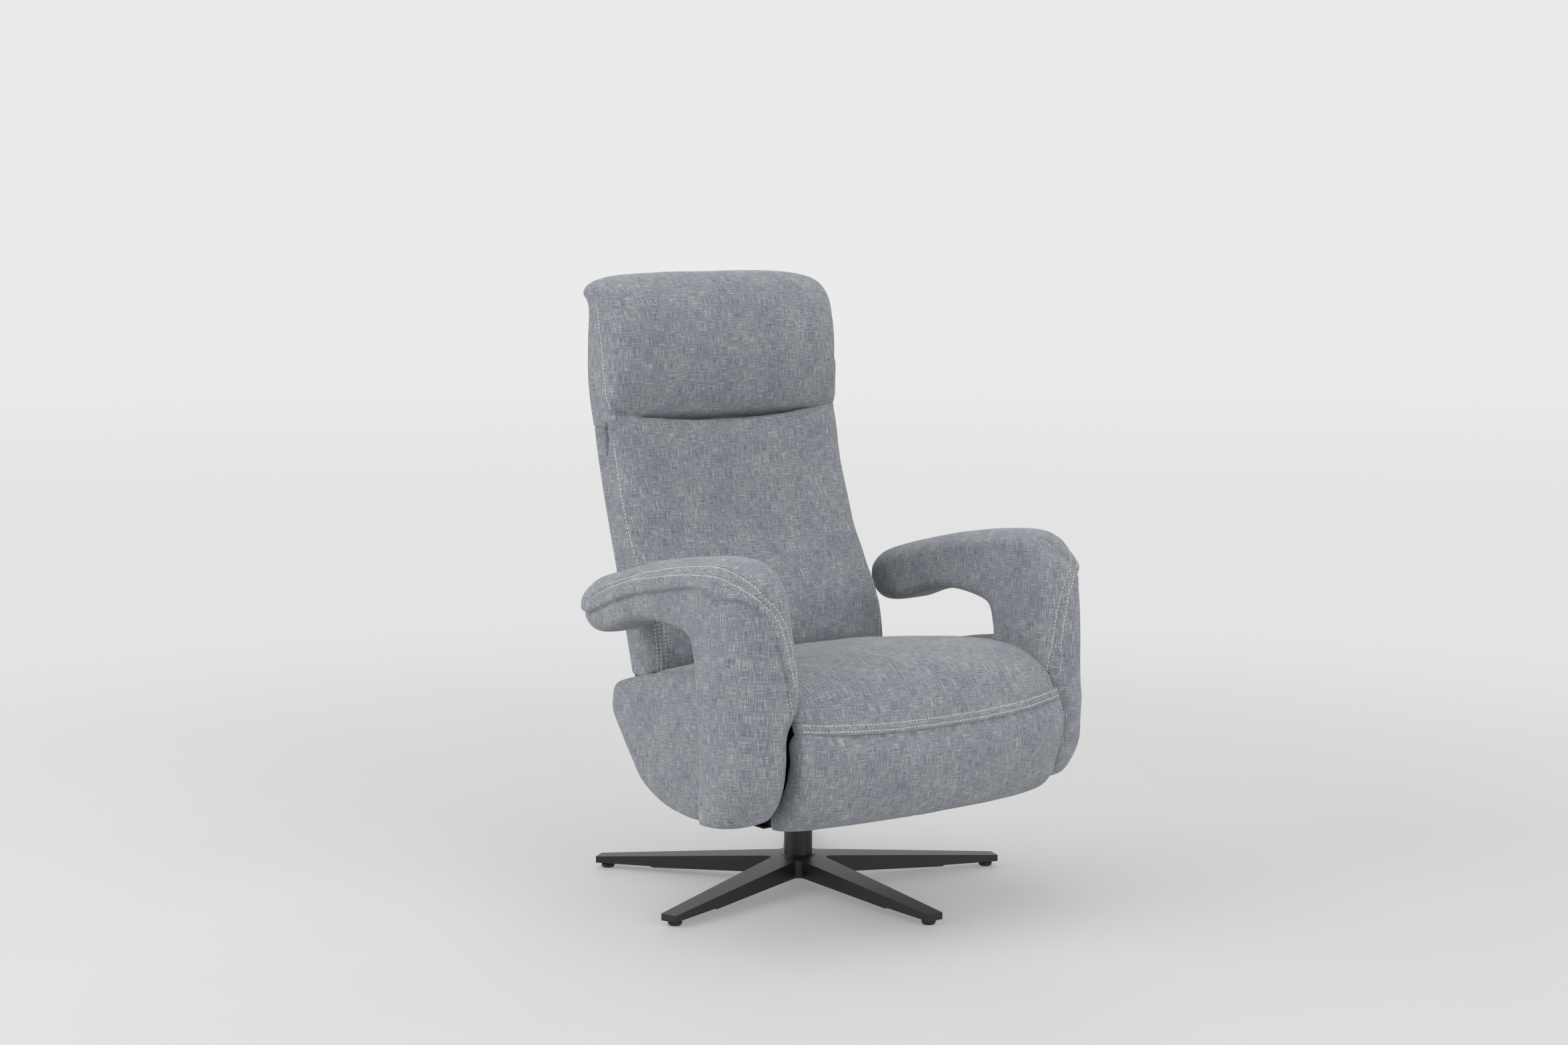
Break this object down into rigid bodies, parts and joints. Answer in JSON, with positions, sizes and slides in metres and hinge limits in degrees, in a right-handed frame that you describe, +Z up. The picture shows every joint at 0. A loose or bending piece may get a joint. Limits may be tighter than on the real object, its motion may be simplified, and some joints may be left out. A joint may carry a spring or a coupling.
{
  "type": "star base swivel recliner",
  "caption": "Upholstered recliner on a flat star base: swivelling seat, reclining back, folding legrest and tilting headrest between hook-shaped open arms.",
  "frame": {"origin": "on the floor under the middle of the whole chair's footprint; the swivel axis stands 40 mm behind it", "axes": "+Z up, the sitter faces -Y, +X to the right seen from the front"},
  "size_m": [0.738, 0.7562, 1.0761],
  "materials": {
    "cover_fabric": "woven blue-grey melange upholstery",
    "black_metal": "satin black powder coat",
    "black_steel": "black coated steel",
    "plated_steel": "zinc plated steel",
    "black_plastic": "moulded black nylon",
    "plywood": "birch plywood",
    "foam": "upholstery foam",
    "black_cloth": "black upholstery cloth"
  },
  "bodies": {
    "base": {"star_base": "black_metal", "floor_glides": "black_plastic", "column_tube": "black_metal", "column_bushes": "black_plastic", "thrust_washer": "black_plastic", "hub_bolt": "plated_steel"},
    "seat": {"swivel_spindle": "plated_steel", "snap_ring": "plated_steel", "swivel_plate": "black_steel", "plate_bolts": "plated_steel", "front_crossbar": "black_steel", "rear_crossbar": "black_steel", "side_plate_left": "black_steel", "side_plate_right": "black_steel", "hinge_pin_left": "plated_steel", "hinge_pin_right": "plated_steel", "seat_rail_front": "plywood", "seat_rail_rear": "plywood", "seat_rail_left": "plywood", "seat_rail_right": "plywood", "seat_webbing": "black_cloth", "seat_cushion": "cover_fabric", "underbody_cover": "black_cloth", "side_panel_left": "cover_fabric", "side_panel_right": "cover_fabric", "arm_left": "cover_fabric", "arm_right": "cover_fabric", "arm_bolts_left": "plated_steel", "arm_bolts_right": "plated_steel", "panel_bolts_left": "plated_steel", "panel_bolts_right": "plated_steel", "gas_bracket": "black_steel", "legrest_bracket_left": "black_steel", "legrest_bracket_right": "black_steel"},
    "back": {"recline_shaft": "black_steel", "recline_ear_left": "black_steel", "recline_ear_right": "black_steel", "back_upright_left": "black_steel", "back_upright_right": "black_steel", "back_crossbar_lower": "black_steel", "back_crossbar_upper": "black_steel", "back_webbing": "black_cloth", "back_foam": "foam", "back_cushion": "cover_fabric", "back_shell": "cover_fabric", "ratchet_lower_left": "black_steel", "ratchet_lower_right": "black_steel"},
    "headrest": {"headrest_board": "plywood", "headrest_cushion": "cover_fabric", "headrest_cover": "cover_fabric", "ratchet_upper_left": "black_steel", "ratchet_upper_right": "black_steel"},
    "legrest": {"legrest_board": "plywood", "legrest_cushion": "cover_fabric", "legrest_arm_left": "black_steel", "legrest_arm_right": "black_steel"},
    "gas_cylinder": {"gas_cylinder": "black_steel"},
    "gas_rod": {"gas_rod": "plated_steel"}
  },
  "joints": [
    {"name": "swivel", "type": "hinge", "parent": "base", "child": "seat", "pos_m": [0, 0.04, 0.196], "axis": [0, 0, 1], "continuous": true},
    {"name": "recline", "type": "hinge", "parent": "seat", "child": "back", "pos_m": [0, 0.108, 0.345], "axis": [-1, 0, 0], "range_deg": [0, 38]},
    {"name": "headrest_tilt", "type": "hinge", "parent": "back", "child": "headrest", "pos_m": [0, 0.292, 0.82], "axis": [1, 0, 0], "range_deg": [0, 35]},
    {"name": "legrest_lift", "type": "hinge", "parent": "seat", "child": "legrest", "pos_m": [0, -0.332, 0.395], "axis": [-1, 0, 0], "range_deg": [0, 88]},
    {"name": "gas_pivot", "type": "hinge", "parent": "seat", "child": "gas_cylinder", "pos_m": [0, -0.12, 0.262], "axis": [1, 0, 0], "range_deg": [-1, 8]},
    {"name": "gas_slide", "type": "slide", "parent": "gas_cylinder", "child": "gas_rod", "axis": [0, 0.9805, 0.1966], "range_m": [-0.02, 0.001]}
  ],
  "couplings": [
    {"joint": "gas_pivot", "follows": "recline", "ratio": 0.173},
    {"joint": "gas_slide", "follows": "recline", "m_per_rad": -0.026}
  ]
}
